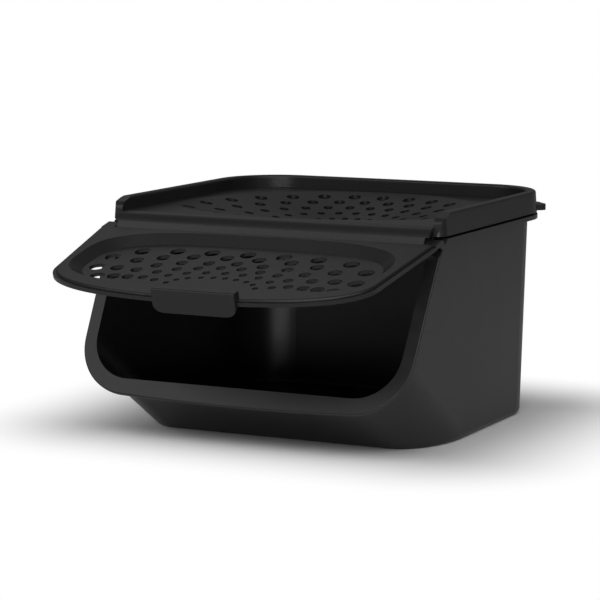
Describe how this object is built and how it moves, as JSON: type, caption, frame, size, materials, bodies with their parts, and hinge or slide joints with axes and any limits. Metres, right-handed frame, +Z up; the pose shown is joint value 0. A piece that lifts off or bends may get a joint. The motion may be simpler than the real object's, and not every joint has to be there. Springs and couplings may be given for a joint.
{
  "type": "garlic keeper",
  "caption": "Black plastic open-fronted garlic keeper with a vented lift-off lid and a vented front flap that swings up to open.",
  "frame": {"origin": "centre of the container's flat base, on the surface that it stands on", "axes": "+X to the keeper's right as seen from its open front, -Y out of the front, +Z up"},
  "size_m": [0.1826, 0.2399, 0.1164],
  "materials": {
    "black_plastic": "satin moulded"
  },
  "bodies": {
    "container": {"container": "black_plastic"},
    "lid": {"lid": "black_plastic"},
    "flap": {"flap": "black_plastic", "panel": "black_plastic", "nose": "black_plastic", "left_ear": "black_plastic", "right_ear": "black_plastic", "tab": "black_plastic"}
  },
  "joints": [
    {"name": "lid_lift", "type": "slide", "parent": "container", "child": "lid", "axis": [0, 0, 1], "range_m": [0, 0.04]},
    {"name": "flap_hinge", "type": "hinge", "parent": "lid", "child": "flap", "pos_m": [0, -0.075, 0.1021], "axis": [-1, 0, 0], "range_deg": [-47, 15]}
  ]
}
